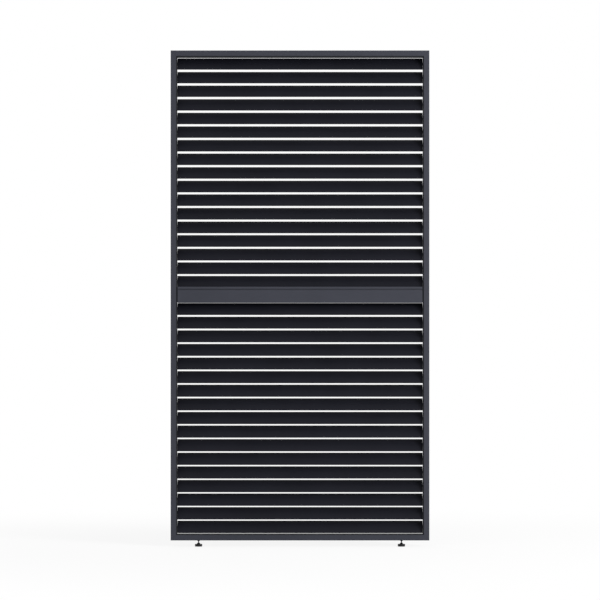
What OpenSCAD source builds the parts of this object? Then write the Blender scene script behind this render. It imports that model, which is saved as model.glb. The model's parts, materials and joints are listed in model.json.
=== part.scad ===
// Rotating slat room divider
//
// A free-standing aluminium screen: a mitred frame of channel profiles with two banks of hollow
// slats, one above and one below a deep mid rail. Each slat turns in flanged bushes, and a crank
// on its right end ties it to the tie bar of its bank, hidden in the right stile.
// Millimetres. +X is right and +Y is back as seen from the front, +Z is up, and the origin is on
// the floor under the middle of the screen. The slats are drawn half open, as in use.

/* [Overall] */
// Width over the two stiles
screen_w = 1200; // [900:10:1600]
// Height from the floor to the top of the frame
screen_h = 2303; // [1900:1:2600]
// Height of the frame's lower edge above the floor
foot_h = 30; // [28:1:38]
// Number of slats in each of the two banks
bank_n = 17; // [15:1:19]

/* [Frame profiles] */
// Width of the stile and rail faces
face_w = 25; // [25:1:40]
// Depth of the frame from front to back
frame_d = 70; // [70:1:90]
// Wall of the frame profiles
frame_wall = 2; // [1.5:0.1:3]
// Radius of the outer long edges
edge_r = 1; // [0.3:0.1:1.4]

/* [Linings] */
// Thickness of the bearing strips in the stiles
strip_t = 4; // [3:0.5:6]
// Thickness of the lining in the top rail
top_liner_t = 5.5; // [3:0.5:7]
// Thickness of the lining in the bottom rail
bottom_liner_t = 3; // [3:0.5:7]
// Step back from the frame's faces to the linings
lining_step = 4; // [3:0.5:6]
// Wall of the recess that the closed slats dip into
liner_wall = 1.5; // [1:0.1:2]
// Depth of the clip legs in their channel
clip_h = 8; // [5:0.5:10]
// Thickness of a clip leg inside the lining's edge
clip_t = 2; // [1.5:0.1:3]

/* [Slats] */
// Overlap of two neighbouring slats when closed
slat_overlap = 4.7; // [3:0.1:6]
// Thickness of a slat at its middle
slat_t = 11; // [9:0.5:13]
// Radius of a slat's rounded long edges
tip_r = 1.5; // [1:0.1:1.8]
// Depth of the solid long edges of the hollow blade
nose_l = 5; // [4:0.5:7]
// Wall of the hollow blade
slat_wall = 1.2; // [0.8:0.1:1.8]
// Distance of the two inner webs from the slat's axis
web_at = 15; // [10:1:20]
// Thickness of the inner webs
web_t = 1; // [0.8:0.1:1.5]
// Thickness of the end caps
cap_t = 2; // [1:0.5:4]
// Gap between a slat's end and its bearing strip
end_gap = 1.2; // [0.6:0.1:4]
// Height by which the stack of slats is taller than the opening
stack_spare = 0.5; // [0:0.1:1]
// Height of the stack's middle above the middle of the opening
stack_lift = 1.25; // [-1:0.25:1.5]
// Tilt of the slats from upright as drawn
rest_tilt = 36; // [25:0.5:60]
// Tilt of the slats from upright when closed
closed_tilt = 3.5; // [3.5:0.5:10]
// Tilt of the slats from upright when fully open
open_tilt = 90; // [80:1:90]

/* [Pivots] */
// Diameter of the pivot pins
pin_d = 8; // [6:0.5:9]
// Wall of the bushes
bush_wall = 1.5; // [1:0.1:2]
// Thickness of the bush flanges
flange_t = 0.8; // [0.5:0.1:1]
// Width of the bush flanges round the bush
flange_lip = 1; // [0.5:0.1:2]
// Diameter of the spigots that hold the end caps in the blades
spigot_d = 6; // [4:0.5:6.5]
// Length of the spigots
spigot_l = 14; // [8:1:25]

/* [Linkage] */
// Distance from the pivot axis to the crank pin
crank_r = 15; // [13:0.5:17]
// Thickness of the crank arms
crank_t = 3; // [2:0.5:4]
// Diameter of the crank pins
crank_pin_d = 5; // [4:0.5:6]
// Width of the tie bars
tie_w = 18; // [12:1:20]
// Thickness of the tie bars
tie_t = 3; // [2:0.5:4]
// Cut of the tie bars' corners
tie_chamfer = 4; // [2:0.5:5]
// Thickness of the retaining washers
washer_t = 0.8; // [0.5:0.1:1.5]
// Width of the retaining washers' rings
washer_ring = 2; // [1.5:0.5:3]

/* [Mid rail] */
// Depth that the closed slats dip into the mid rail's underside
mid_dip = 6.6; // [5:0.1:8]
// Depth that the closed slats dip into its closing cap
cap_dip = 12.4; // [10:0.1:13]
// Height of the lip of the closing cap
lip_h = 9.6; // [6:0.1:11]
// Height of the shadow groove under the lip
groove_h = 6; // [5:0.1:9]
// Depth of the shadow groove
groove_d = 6; // [3:0.5:6]
// Thickness of the end plates between the mid rail and the bearing strips
mid_end_t = 4; // [2:0.5:6]
// Step back from the mid rail's faces to its end plates
mid_end_step = 1.5; // [0.5:0.5:3]
// Diameter of the mid rail's fixing screws
mid_screw_d = 5; // [4:0.5:6]
// Length of the fixing screws in the mid rail
mid_screw_l = 24; // [15:1:40]
// Distance of the fixing screws from the middle of the depth
mid_screw_y = 21; // [15:1:22]

/* [Corners] */
// Length of the legs of the corner cleats
cleat_l = 60; // [50:1:80]
// Thickness of the corner cleats
cleat_t = 4; // [3:0.5:5]
// Diameter of the corner screws
corner_screw_d = 4; // [3:0.5:5]
// Distance of the corner screws from the frame's corner
corner_screw_at = 42; // [35:1:46]
// Distance of the corner screws from the middle of the depth
corner_screw_y = 15; // [8:1:20]

/* [Feet] */
// Distance from the frame's side to the middle of a foot
foot_inset = 128.5; // [90:0.5:250]
// Diameter of the foot pads
pad_d = 34; // [28:1:50]
// Height of the straight edge of a foot pad
pad_edge_h = 11.3; // [11:0.1:13]
// Height of the cone on a foot pad
pad_cone_h = 6; // [4:0.1:7]
// Diameter of the cone's base
pad_cone_d = 18; // [15:1:28]
// Diameter of a foot pad's neck
pad_neck_d = 9; // [9:0.5:14]
// Diameter of the threaded studs
stud_d = 6; // [5:0.5:7]
// Length of a stud above its ball
stud_l = 37; // [34:1:38]
// Diameter of the ball on a stud's lower end
ball_d = 8; // [7.5:0.1:9]
// Height of the ball's middle above the floor
ball_z = 9; // [7:0.1:9]
// Wall of the threaded inserts round their studs
insert_wall = 1.5; // [1:0.1:2]
// Height of the threaded inserts above the frame's lower edge
insert_h = 13; // [8:1:16]
// Height of the inserts' tapered collars under the frame
collar_h = 5.3; // [3:0.1:5.5]
// Width of a collar round the hole in the frame
collar_lip = 4.5; // [1:0.5:6]
// Wall of a collar's lower end round its stud
collar_wall = 1; // [0.6:0.1:2]

/* [Fixing to the building] */
// Number of fixing holes in the top rail
fixing_n = 4; // [2:1:6]
// Distance between neighbouring fixing holes
fixing_pitch = 280; // [100:10:280]
// Diameter of the fixing holes
fixing_d = 9; // [5:0.5:11]

/* [Clearances] */
// Radial clearance of pins, screws and spigots in their holes
fit = 0.05; // [0.02:0.01:0.1]
// Gap between parts that are clipped or butted together
butt_gap = 0.1; // [0.05:0.05:0.3]
// Gap between parts that turn past each other
side_gap = 0.3; // [0.2:0.05:0.4]
// Clearance of the turning slats in the recesses
tip_clear = 1.2; // [0.8:0.1:2]
// Clearance of the turning slats beside the recesses
recess_side = 1.8; // [1.5:0.1:2.5]

/* [Hidden] */
function two_digits(i) = str(i < 10 ? "0" : "", i);
function slat_name(bank, i) = str(bank, "_slat_", two_digits(i));

$fn = 48;
face_steps = 10;
tip_steps = 8;
over = 1;

// Frame
frame_half = frame_d / 2;
channel_half = frame_half - frame_wall;
lining_half = frame_half - lining_step;
frame_h = screen_h - foot_h;
frame_mid_z = foot_h + frame_h / 2;
stile_in = screen_w / 2 - face_w;
strip_in = stile_in - strip_t;
rail_top_z = screen_h - face_w;
rail_bottom_z = foot_h + face_w;
opening_top = rail_top_z - top_liner_t;
opening_bottom = rail_bottom_z + bottom_liner_t;

// Slats: the mid rail takes the place of one slat
pitch = (opening_top - opening_bottom + stack_spare) / (2 * bank_n + 1);
mid_z = (opening_top + opening_bottom) / 2 + stack_lift;
sweep_r = (pitch + slat_overlap) / 2;
tip_c = sweep_r - tip_r;
core_r = slat_t / 2 - slat_wall / 2;
slat_end = strip_in - end_gap;
cap_in = slat_end - cap_t;
blade_half = cap_in - fit;

// A slat's curved faces run smoothly into its round edges
face_r = (pow(tip_c, 2) + pow(slat_t / 2, 2) - pow(tip_r, 2)) / (slat_t - 2 * tip_r);
face_centre = face_r - slat_t / 2;
face_angle = asin(tip_c / (face_r - tip_r));
core_face_r = face_r - slat_wall;
core_angle = asin((sweep_r - nose_l) / core_face_r);

// Recesses for the closed slats, measured from the edge that they are cut into
recess_r = sweep_r + tip_clear;
function recess_half(edge) = sqrt(max(0, pow(sweep_r, 2) - pow(edge, 2))) + recess_side;
top_edge = opening_top - (mid_z + bank_n * pitch);
bottom_edge = mid_z - bank_n * pitch - opening_bottom;

// Pivots
bush_d = pin_d + 2 * bush_wall;
hub_d = bush_d + 2 * flange_lip;
bush_end = stile_in + flange_t;
boss_end = strip_in - side_gap;

// Linkage, from the bush outwards
crank_in = bush_end + side_gap;
crank_out = crank_in + crank_t;
tie_in = crank_out + side_gap;
tie_out = tie_in + tie_t;
washer_in = tie_out + side_gap;
washer_out = washer_in + washer_t;
crank_pin_end = washer_out + flange_t;
drive_side = pin_d / sqrt(2) - 2 * fit;
crank_eye_d = pin_d + 5;
crank_tip_d = crank_pin_d + 4;
tie_end = tie_w / 2 + over;
// The crank swings equally far above and below level between closed and open
crank_angle = 90 - (open_tilt - closed_tilt) / 2;
crank_rest = crank_angle - rest_tilt;
crank_y = crank_r * cos(crank_rest);
crank_z = crank_r * sin(crank_rest);

// Mid rail, measured from its middle, its edges set by how deep the closed slats dip into it
mid_edge_gap = recess_r - mid_dip;
mid_base = mid_edge_gap - pitch;
mid_recess_half = recess_half(mid_edge_gap);
cap_edge_gap = recess_r - cap_dip;
cap_top = pitch - cap_edge_gap;
cap_base = cap_top - lip_h - groove_h;
cap_floor = pitch - recess_r;
cap_recess_half = recess_half(cap_edge_gap);
cap_half = frame_half - groove_d;
mid_port_d = mid_screw_d + 4;
mid_port_z = (cap_base + mid_base) / 2;
mid_head_d = mid_screw_d + 4;
mid_head_h = 0.7 * mid_screw_d;
mid_end = strip_in - mid_end_t;
rib_t = 2;

// Corners
cleat_half = channel_half - 1;
corner_head_d = 2 * corner_screw_d;
corner_screw_l = frame_wall + cleat_t + over;

// Feet
foot_x = screen_w / 2 - foot_inset;
insert_d = stud_d + 2 * insert_wall;
socket_gap = 2 * fit;

// Axis height of slat i of a bank, counted upwards from 1
function upper_z(i) = mid_z + i * pitch;
function lower_z(i) = mid_z - (bank_n + 1 - i) * pitch;
function all_axes() = concat([for (i = [1:bank_n]) lower_z(i)], [for (i = [1:bank_n]) upper_z(i)]);

frame_colour = [0.27, 0.28, 0.31];
lining_colour = [0.19, 0.19, 0.21];
slat_colour = [0.15, 0.15, 0.17];
plastic_colour = [0.11, 0.11, 0.12];
steel_colour = [0.62, 0.63, 0.65];
dark_steel_colour = [0.34, 0.34, 0.36];

// A flat outline in (Y, Z), drawn out along X
module along_x(from, to) {
    translate([from, 0, 0]) rotate([90, 0, 90]) linear_extrude(to - from) children();
}

// A flat outline in (X, Z), drawn out along Y over the whole depth
module through_depth() {
    rotate([90, 0, 0]) linear_extrude(2 * frame_d, center = true) children();
}

// A round bar along X
module rod(from, to, d) {
    translate([from, 0, 0]) rotate([0, 90, 0]) cylinder(h = to - from, d = d);
}

// Turns what lies along X with its outer side up so that it stands in the right stile
module stand_right(x) {
    translate([x, 0, frame_mid_z]) rotate([0, 90, 0]) children();
}

module both_sides() {
    for (s = [0, 1]) mirror([s, 0, 0]) children();
}

// Frame profiles -------------------------------------------------------------------------------

// The channel in (depth, outward), its open side at 0
module channel_outline() {
    difference() {
        union() {
            translate([-frame_half, 0]) square([frame_d, face_w - edge_r]);
            translate([-frame_half + edge_r, 0]) square([frame_d - 2 * edge_r, face_w]);
            for (s = [-1, 1])
                translate([s * (frame_half - edge_r), face_w - edge_r]) circle(edge_r);
        }
        translate([-channel_half, -over]) square([2 * channel_half, face_w - frame_wall + over]);
    }
}

// A channel of outer length len with both ends mitred
module mitred_channel(len) {
    far = len / 2 + over;
    near = len / 2 - face_w - over;
    intersection() {
        along_x(-far, far) channel_outline();
        through_depth()
            polygon([[-far, face_w + over], [far, face_w + over], [near, -over], [-near, -over]]);
    }
}

// A countersunk screw, its head flush at 0 and its shank pointing down; gap widens it to a hole
module countersunk_screw(gap) {
    head_h = (corner_head_d - corner_screw_d) / 2;
    translate([0, 0, -head_h])
        cylinder(h = head_h, d1 = corner_screw_d + 2 * gap, d2 = corner_head_d + 2 * gap);
    translate([0, 0, -corner_screw_l]) cylinder(h = corner_screw_l, d = corner_screw_d + 2 * gap);
}

// Places its children at the four outer corners, drawn for the top right one
module at_corners() {
    for (sx = [0, 1], sz = [0, 1])
        translate([0, 0, frame_mid_z]) mirror([sx, 0, 0]) mirror([0, 0, sz])
            translate([screen_w / 2, 0, frame_h / 2]) children();
}

module corner_screw_set(gap = 0) {
    for (y = [-corner_screw_y, corner_screw_y]) {
        translate([0, y, -corner_screw_at]) rotate([0, 90, 0]) countersunk_screw(gap);
        translate([-corner_screw_at, y, 0]) countersunk_screw(gap);
    }
}

module right_stile() {
    color(frame_colour) difference() {
        stand_right(stile_in) mitred_channel(frame_h);
        at_corners() corner_screw_set(fit);
    }
}

module left_stile() {
    mirror([1, 0, 0]) right_stile();
}

module top_rail() {
    color(frame_colour) difference() {
        translate([0, 0, rail_top_z]) mitred_channel(screen_w);
        at_corners() corner_screw_set(fit);
        for (i = [0:fixing_n - 1])
            translate([(i - (fixing_n - 1) / 2) * fixing_pitch, 0, screen_h - frame_wall - over])
                cylinder(h = frame_wall + 2 * over, d = fixing_d);
    }
}

module bottom_rail() {
    color(frame_colour) difference() {
        translate([0, 0, rail_bottom_z]) mirror([0, 0, 1]) mitred_channel(screen_w);
        at_corners() corner_screw_set(fit);
        both_sides() translate([foot_x, 0, foot_h - over])
            cylinder(h = frame_wall + 2 * over, d = insert_d + 2 * fit);
    }
}

module corner_cleats() {
    leg = cleat_l - frame_wall;
    color(steel_colour) difference() {
        at_corners() translate([-frame_wall, -cleat_half, -frame_wall]) {
            translate([-cleat_t, 0, -leg]) cube([cleat_t, 2 * cleat_half, leg]);
            translate([-leg, 0, -cleat_t]) cube([leg, 2 * cleat_half, cleat_t]);
        }
        at_corners() corner_screw_set(fit);
    }
}

module corner_screws() {
    color(steel_colour) at_corners() corner_screw_set();
}

// Linings --------------------------------------------------------------------------------------

// A clipped-in lining in (depth, outward), its visible face at 0
module lining_outline(t) {
    translate([-lining_half, 0]) square([2 * lining_half, t]);
    for (s = [0, 1]) mirror([s, 0]) {
        translate([lining_half - clip_t, 0]) square([clip_t, t + clip_h]);
        translate([lining_half - clip_t, t])
            square([channel_half - butt_gap - lining_half + clip_t, clip_h]);
    }
}

// A lining with a recess for the closed slats, edge being the distance to their axis
module recessed_lining_outline(t, edge) {
    half = recess_half(edge);
    depth = recess_r - edge;
    difference() {
        union() {
            lining_outline(t);
            translate([-half - liner_wall, 0]) square([2 * (half + liner_wall), depth + liner_wall]);
        }
        translate([-half, -over]) square([2 * half, depth + over]);
    }
}

module right_bearing_strip() {
    color(lining_colour) difference() {
        stand_right(strip_in) along_x(-frame_h / 2 + face_w, frame_h / 2 - face_w)
            lining_outline(strip_t);
        for (z = all_axes()) translate([0, 0, z]) {
            rod(strip_in - over, stile_in + over, bush_d + 2 * fit);
            rod(strip_in - over, strip_in + flange_t, hub_d + 2 * fit);
        }
        for (s = [-1, 1]) translate([0, s * mid_screw_y, mid_z + mid_port_z])
            rod(strip_in - over, stile_in + over, mid_screw_d + 2 * fit);
    }
}

module left_bearing_strip() {
    mirror([1, 0, 0]) right_bearing_strip();
}

module top_liner() {
    half = strip_in - butt_gap;
    color(lining_colour) translate([0, 0, opening_top])
        along_x(-half, half) recessed_lining_outline(top_liner_t, top_edge);
}

module bottom_liner() {
    half = strip_in - butt_gap;
    color(lining_colour) translate([0, 0, opening_bottom]) mirror([0, 0, 1])
        along_x(-half, half) recessed_lining_outline(bottom_liner_t, bottom_edge);
}

// Mid rail -------------------------------------------------------------------------------------

// Round screw ports on ribs, heights measured from the middle of the rail
module port_outline() {
    for (s = [0, 1]) mirror([s, 0]) {
        translate([mid_screw_y, mid_port_z]) circle(d = mid_port_d);
        translate([mid_screw_y, mid_port_z - rib_t / 2])
            square([channel_half + over - mid_screw_y, rib_t]);
    }
}

// The open-topped box, its underside recessed for the closed slats below
module mid_rail_outline() {
    box_h = cap_base - mid_base;
    difference() {
        union() {
            translate([-frame_half + edge_r, mid_base]) square([frame_d - 2 * edge_r, box_h]);
            translate([-frame_half, mid_base + edge_r]) square([frame_d, box_h - edge_r]);
            for (s = [-1, 1])
                translate([s * (frame_half - edge_r), mid_base + edge_r]) circle(edge_r);
        }
        difference() {
            translate([-channel_half, mid_base + frame_wall]) square([2 * channel_half, box_h]);
            translate([-mid_recess_half - frame_wall, mid_base])
                square([2 * (mid_recess_half + frame_wall), mid_dip + frame_wall]);
            port_outline();
        }
        translate([-mid_recess_half, mid_base - over]) square([2 * mid_recess_half, mid_dip + over]);
        for (s = [-1, 1])
            translate([s * mid_screw_y, mid_port_z]) circle(d = mid_screw_d + 2 * fit);
    }
}

module mid_rail() {
    half = mid_end - butt_gap;
    color(frame_colour) translate([0, 0, mid_z]) along_x(-half, half) mid_rail_outline();
}

// The clipped-in cap: a narrow foot that leaves the shadow groove, and a hollow lip at full depth
module mid_cap_outline() {
    lip_base = cap_base + groove_h;
    chamber = cap_recess_half + liner_wall;
    difference() {
        union() {
            translate([-cap_half, cap_base]) square([2 * cap_half, groove_h + lip_h]);
            translate([-frame_half, lip_base]) square([frame_d, lip_h - edge_r]);
            translate([-frame_half + edge_r, lip_base]) square([frame_d - 2 * edge_r, lip_h]);
            for (s = [-1, 1])
                translate([s * (frame_half - edge_r), cap_top - edge_r]) circle(edge_r);
        }
        translate([-cap_recess_half, cap_floor]) square([2 * cap_recess_half, cap_dip + over]);
        translate([-cap_half + clip_t, cap_base - over])
            square([2 * (cap_half - clip_t), cap_floor - liner_wall - cap_base + over]);
        for (s = [0, 1]) mirror([s, 0]) translate([chamber, lip_base + liner_wall])
            square([frame_half - liner_wall - chamber, lip_h - 2 * liner_wall]);
    }
    for (s = [0, 1]) mirror([s, 0]) translate([cap_half - clip_t, cap_base - clip_h]) {
        square([clip_t, clip_h + groove_h]);
        square([channel_half - butt_gap - cap_half + clip_t, clip_h]);
    }
}

module mid_rail_cap() {
    half = mid_end - butt_gap;
    color(frame_colour) translate([0, 0, mid_z]) along_x(-half, half) mid_cap_outline();
}

// An end plate, a little smaller than the rail and its cap, with their recesses and screw holes
module mid_end_outline() {
    half = frame_half - mid_end_step;
    base = mid_base + mid_end_step;
    difference() {
        translate([-half, base]) square([2 * half, cap_top - mid_end_step - base]);
        translate([-cap_recess_half, cap_floor]) square([2 * cap_recess_half, cap_dip + over]);
        translate([-mid_recess_half, mid_base - over]) square([2 * mid_recess_half, mid_dip + over]);
    }
}

module mid_rail_end_plates() {
    color(lining_colour) both_sides() translate([0, 0, mid_z]) difference() {
        along_x(mid_end, strip_in - butt_gap) mid_end_outline();
        for (s = [-1, 1]) translate([0, s * mid_screw_y, mid_port_z])
            rod(mid_end - over, strip_in + over, mid_screw_d + 2 * fit);
    }
}

module mid_rail_screws() {
    color(steel_colour) both_sides() for (s = [-1, 1])
        translate([0, s * mid_screw_y, mid_z + mid_port_z]) {
            rod(stile_in, stile_in + mid_head_h, mid_head_d);
            rod(strip_in - mid_screw_l, stile_in + mid_head_h / 2, mid_screw_d);
        }
}

// Slats ----------------------------------------------------------------------------------------

// Points along the right curved face of radius r, from half degrees below its middle to half above
function face_points(r, half) =
    [for (i = [0:face_steps]) let (a = half * (2 * i / face_steps - 1))
        [r * cos(a) - face_centre, r * sin(a)]];

// Points round the upper edge, between the two faces
function tip_points() =
    [for (i = [1:tip_steps - 1]) let (a = face_angle + (180 - 2 * face_angle) * i / tip_steps)
        [tip_r * cos(a), tip_c + tip_r * sin(a)]];

// A closed outline from the points of one half
module both_halves(points) {
    polygon(concat(points, [for (p = points) -p]));
}

// Outer outline of an upright slat: two curved faces with rounded long edges
module slat_outline() {
    both_halves(concat(face_points(face_r, face_angle), tip_points()));
}

module blade() {
    color(slat_colour) along_x(-blade_half, blade_half) difference() {
        slat_outline();
        difference() {
            both_halves(face_points(core_face_r, core_angle));
            circle(core_r);
            for (s = [-1, 1])
                translate([-slat_t / 2, s * web_at - web_t / 2]) square([slat_t, web_t]);
        }
        circle(d = spigot_d + 2 * fit);
    }
}

// The right end cap, with its spigot in the blade and its pivot pin outwards
module end_cap(pin_end) {
    along_x(cap_in, slat_end) slat_outline();
    rod(slat_end - cap_t / 2, boss_end, hub_d);
    rod(slat_end - cap_t / 2, pin_end, pin_d);
    rod(cap_in - spigot_l, slat_end - cap_t / 2, spigot_d);
}

// The square end of the right pivot pin, which turns the crank, or its hole
module square_drive(from, to, gap) {
    side = drive_side + 2 * gap;
    translate([from, -side / 2, -side / 2]) cube([to - from, side, side]);
}

// The crank arm along +Y with its pin, its square hole turned as the blade lies
module crank() {
    color(steel_colour) difference() {
        union() {
            rod(crank_in, crank_out, crank_eye_d);
            translate([0, crank_r, 0]) {
                rod(crank_in, crank_out, crank_tip_d);
                rod(crank_out - crank_t / 2, crank_pin_end, crank_pin_d);
            }
            translate([crank_in, 0, -crank_tip_d / 2]) cube([crank_t, crank_r, crank_tip_d]);
        }
        rotate([-crank_angle, 0, 0]) square_drive(crank_in - over, crank_out + over, fit);
    }
}

module retaining_washer() {
    color(steel_colour) translate([0, crank_r, 0]) difference() {
        rod(washer_in, washer_out, crank_pin_d + 2 * washer_ring);
        rod(washer_in - over, washer_out + over, crank_pin_d + 2 * fit);
    }
}

// A whole slat with its axis at height z: blade, two caps, crank and washer
module slat(z) {
    translate([0, 0, z]) rotate([-rest_tilt, 0, 0]) {
        blade();
        color(plastic_colour) {
            mirror([1, 0, 0]) end_cap(bush_end);
            end_cap(crank_in - fit);
            square_drive(crank_in - over, crank_out, 0);
        }
        rotate([crank_angle, 0, 0]) {
            crank();
            retaining_washer();
        }
    }
}

// The flanged bushes of one side, flush with the bearing strip, drawn for the right
module right_pivot_bushes() {
    color(plastic_colour) for (z = all_axes()) translate([0, 0, z]) difference() {
        union() {
            rod(strip_in, strip_in + flange_t, hub_d);
            rod(strip_in + flange_t / 2, bush_end, bush_d);
        }
        rod(strip_in - over, bush_end + over, pin_d + 2 * fit);
    }
}

module left_pivot_bushes() {
    mirror([1, 0, 0]) right_pivot_bushes();
}

// A tie bar with cut corners over the cranks of the slats that turn on the given axes
module tie_bar(axes) {
    low = axes[0] + crank_z - tie_end;
    high = axes[len(axes) - 1] + crank_z + tie_end;
    half = tie_w / 2;
    cut = half - tie_chamfer;
    color(steel_colour) difference() {
        translate([0, crank_y, 0]) along_x(tie_in, tie_out)
            polygon([[-half, low + tie_chamfer], [-cut, low], [cut, low], [half, low + tie_chamfer],
                     [half, high - tie_chamfer], [cut, high], [-cut, high],
                     [-half, high - tie_chamfer]]);
        for (z = axes) translate([0, crank_y, z + crank_z])
            rod(tie_in - over, tie_out + over, crank_pin_d + 2 * fit);
    }
}

module upper_tie_bar() {
    tie_bar([for (i = [1:bank_n]) upper_z(i)]);
}

module lower_tie_bar() {
    tie_bar([for (i = [1:bank_n]) lower_z(i)]);
}

// Feet -----------------------------------------------------------------------------------------

// Threaded inserts in the bottom rail, each with a tapered collar under it
module foot_inserts() {
    color(plastic_colour) both_sides() translate([foot_x, 0, foot_h]) difference() {
        union() {
            cylinder(h = insert_h, d = insert_d);
            translate([0, 0, -collar_h])
                cylinder(h = collar_h, d1 = stud_d + 2 * collar_wall, d2 = insert_d + 2 * collar_lip);
        }
        translate([0, 0, -collar_h - over])
            cylinder(h = insert_h + collar_h + 2 * over, d = stud_d + 2 * fit);
    }
}

module foot_stud(x) {
    color(dark_steel_colour) translate([x, 0, ball_z]) {
        sphere(d = ball_d);
        cylinder(h = stud_l, d = stud_d);
    }
}

module left_foot_stud() {
    foot_stud(-foot_x);
}

module right_foot_stud() {
    foot_stud(foot_x);
}

module foot_pad(x) {
    pad_h = pad_edge_h + pad_cone_h;
    color(plastic_colour) translate([x, 0, 0]) difference() {
        union() {
            cylinder(h = pad_edge_h, d = pad_d, $fn = 96);
            translate([0, 0, pad_edge_h]) cylinder(h = pad_cone_h, d1 = pad_cone_d, d2 = pad_neck_d);
        }
        translate([0, 0, ball_z]) {
            sphere(d = ball_d + 2 * socket_gap);
            cylinder(h = pad_h, d = stud_d + 2 * socket_gap);
        }
    }
}

module left_foot_pad() {
    foot_pad(-foot_x);
}

module right_foot_pad() {
    foot_pad(foot_x);
}

left_stile();
right_stile();
top_rail();
bottom_rail();
mid_rail();
mid_rail_cap();
mid_rail_end_plates();
left_bearing_strip();
right_bearing_strip();
top_liner();
bottom_liner();
corner_cleats();
corner_screws();
mid_rail_screws();
left_pivot_bushes();
right_pivot_bushes();
upper_tie_bar();
lower_tie_bar();
foot_inserts();
left_foot_stud();
right_foot_stud();
left_foot_pad();
right_foot_pad();
for (i = [1:bank_n]) {
    slat(upper_z(i));
    slat(lower_z(i));
}
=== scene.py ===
"""Dresses the rotating slat room divider in its finishes and sets it in a plain studio.

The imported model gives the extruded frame, the linings, the bushes and the tie bars, which stay as
they are and get their coatings. The slats with their end caps and cranks, the screws and the
levelling feet are modelled again here with smooth curves, eased edges, recesses and threads, and
ride on the same bodies. Lengths are in metres: +X is right, +Y is back and +Z is up.
"""

import json
import logging
import math
from collections.abc import Iterable, Sequence
from dataclasses import dataclass, field
from enum import Enum

import bmesh
import bpy
from mathutils import Matrix, Vector


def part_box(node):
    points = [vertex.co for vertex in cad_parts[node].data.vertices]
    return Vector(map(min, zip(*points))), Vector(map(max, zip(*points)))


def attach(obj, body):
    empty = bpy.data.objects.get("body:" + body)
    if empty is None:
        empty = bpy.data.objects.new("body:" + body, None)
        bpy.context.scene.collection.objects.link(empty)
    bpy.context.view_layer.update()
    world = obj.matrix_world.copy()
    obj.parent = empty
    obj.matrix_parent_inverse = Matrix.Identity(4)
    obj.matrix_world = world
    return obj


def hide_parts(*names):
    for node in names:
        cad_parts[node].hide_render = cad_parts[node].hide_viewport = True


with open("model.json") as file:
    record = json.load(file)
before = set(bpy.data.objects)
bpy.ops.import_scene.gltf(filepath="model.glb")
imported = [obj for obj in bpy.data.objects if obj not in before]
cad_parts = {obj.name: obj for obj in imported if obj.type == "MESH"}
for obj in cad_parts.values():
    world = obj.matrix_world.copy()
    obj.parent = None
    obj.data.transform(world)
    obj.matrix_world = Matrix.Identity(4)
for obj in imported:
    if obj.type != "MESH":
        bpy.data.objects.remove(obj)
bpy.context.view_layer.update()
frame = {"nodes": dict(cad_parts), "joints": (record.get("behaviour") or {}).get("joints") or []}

FULL_TURN = 2 * math.pi
X_AXIS = Vector((1, 0, 0))
Y_AXIS = Vector((0, 1, 0))
Z_AXIS = Vector((0, 0, 1))
ORIGIN = Vector((0, 0, 0))

log = logging.getLogger("divider")

Colour = tuple[float, float, float]
Point = tuple[float, float, float]
Socket = bpy.types.NodeSocket
Outputs = bpy.types.NodeOutputs
Vert = bmesh.types.BMVert
Edge = bmesh.types.BMEdge


class Slot(Enum):
    """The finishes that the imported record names."""

    FRAME = "frame_coat"
    LINING = "lining_coat"
    SLAT = "slat_coat"
    MILL = "bare_aluminium"
    ZINC = "zinc_steel"
    DARK_STEEL = "dark_steel"
    PLASTIC = "black_plastic"


class Side(Enum):
    """The left and the right side, by the sign of X."""

    LEFT = -1
    RIGHT = 1

    @property
    def word(self) -> str:
        """The side's name in lower case."""
        return self.name.lower()


# --- Shader nodes ---


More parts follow.
